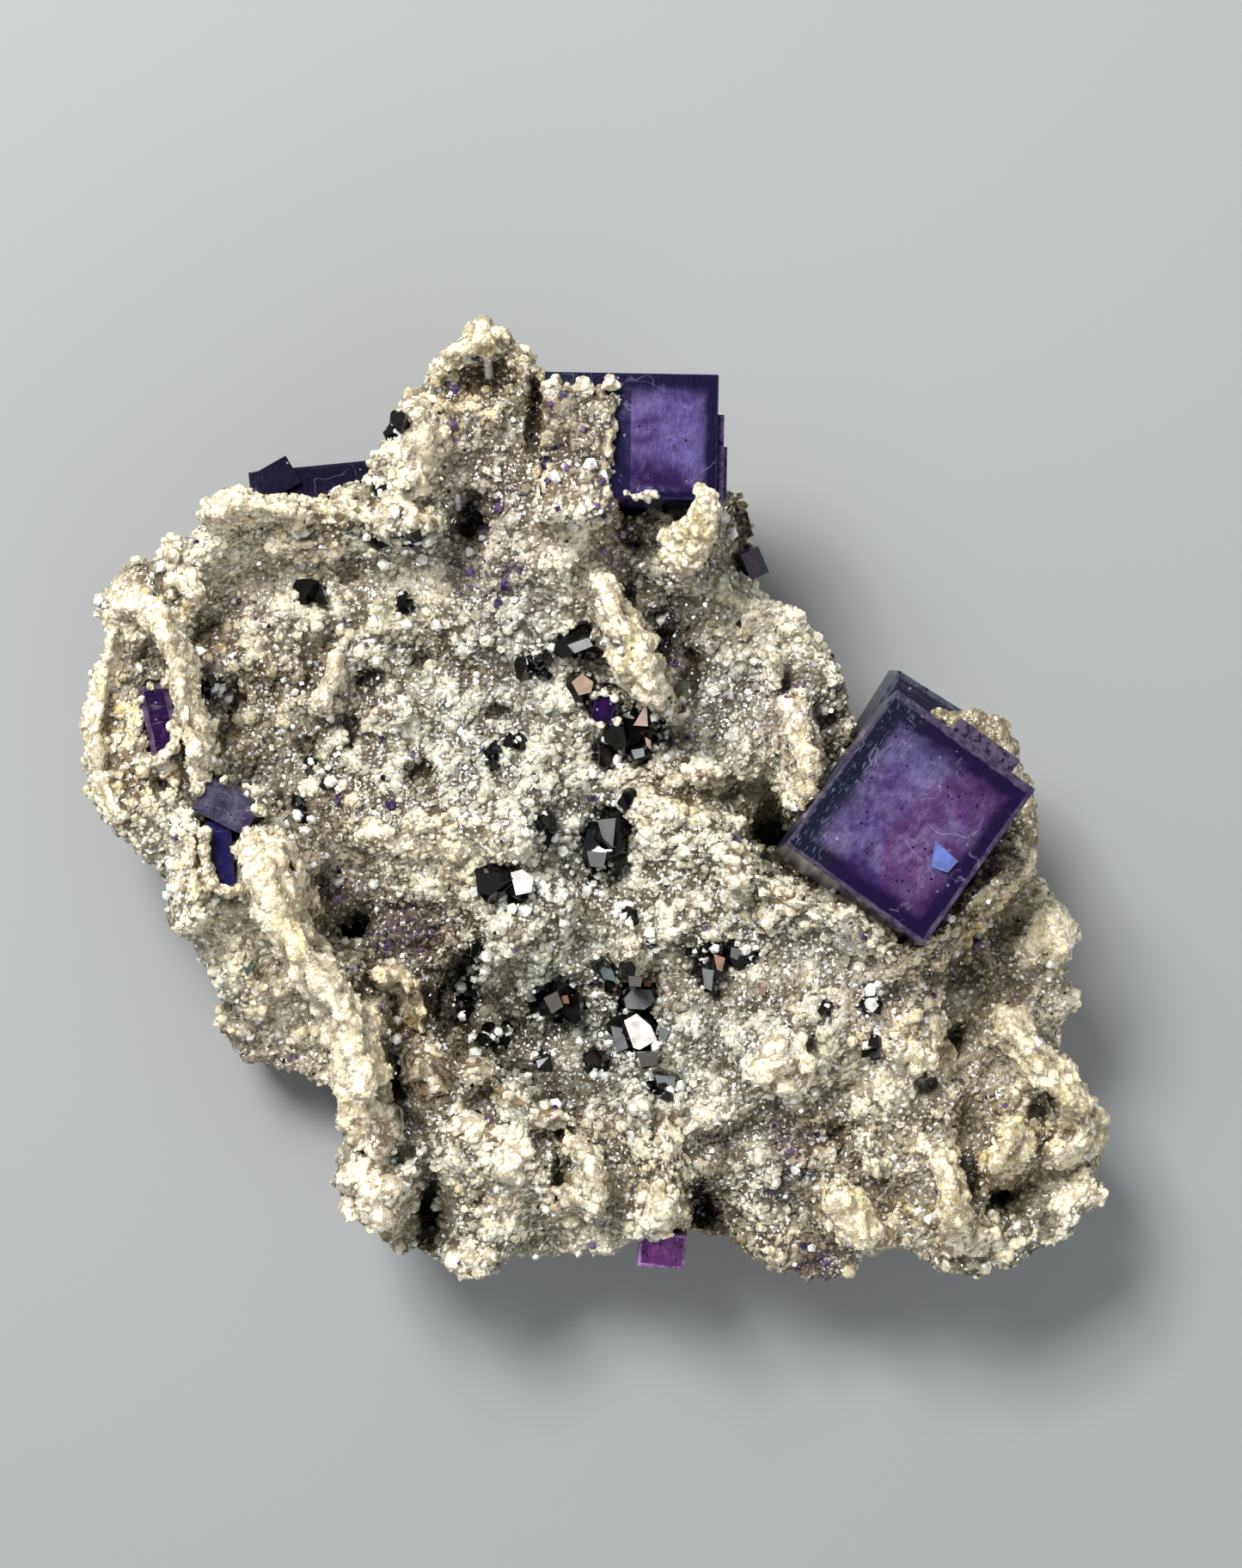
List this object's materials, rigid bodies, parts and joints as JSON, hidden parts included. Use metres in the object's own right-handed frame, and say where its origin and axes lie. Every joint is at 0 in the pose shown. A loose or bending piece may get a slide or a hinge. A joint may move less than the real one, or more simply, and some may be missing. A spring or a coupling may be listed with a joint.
{
  "type": "zoned fluorite specimen",
  "caption": "Mineral specimen: violet zoned fluorite cubes and black sphalerite crystals on a rough plate crusted with pale mica, with raised blades of rock.",
  "frame": {"origin": "on the surface it lies on, under the middle of its box", "axes": "+X to the right and +Y up the plate as a viewer of its crystal face sees it, +Z out of that face"},
  "size_m": [0.1009, 0.0938, 0.0368],
  "materials": {
    "matrix_crust": "rough crust of small glittering mica rosettes and glassy grains",
    "fluorite": "polished, see-through violet with a dark indigo zone near the faces",
    "sphalerite": "mirror-bright black facets, some copper brown",
    "quartz": "clear white, glossy",
    "olive_flake": "dull, weathered"
  },
  "bodies": {
    "root": {"matrix": "matrix_crust", "fluorite_large": "fluorite", "fluorite_top": "fluorite", "fluorite_behind_right": "fluorite", "fluorite_behind_left": "fluorite", "fluorite_left_upper": "fluorite", "fluorite_left_lower": "fluorite", "fluorite_bottom": "fluorite", "fluorite_right_edge": "fluorite", "fluorite_middle": "fluorite", "sphalerite_upper_slab": "sphalerite", "sphalerite_upper_left": "sphalerite", "sphalerite_upper_small": "sphalerite", "sphalerite_bronze": "sphalerite", "sphalerite_centre": "sphalerite", "sphalerite_centre_left": "sphalerite", "sphalerite_hollow_edge": "sphalerite", "sphalerite_wedge": "sphalerite", "sphalerite_left": "sphalerite", "sphalerite_left_small": "sphalerite", "sphalerite_right": "sphalerite", "sphalerite_lower_left": "sphalerite", "sphalerite_shard_left": "sphalerite", "sphalerite_shard_right": "sphalerite", "sphalerite_mirror": "sphalerite", "sphalerite_low": "sphalerite", "sphalerite_striped": "sphalerite", "sphalerite_basin": "sphalerite", "sphalerite_tower": "sphalerite", "quartz_needle_upper": "quartz", "quartz_needle_lower": "quartz", "olive_flake": "olive_flake"}
  },
  "joints": []
}
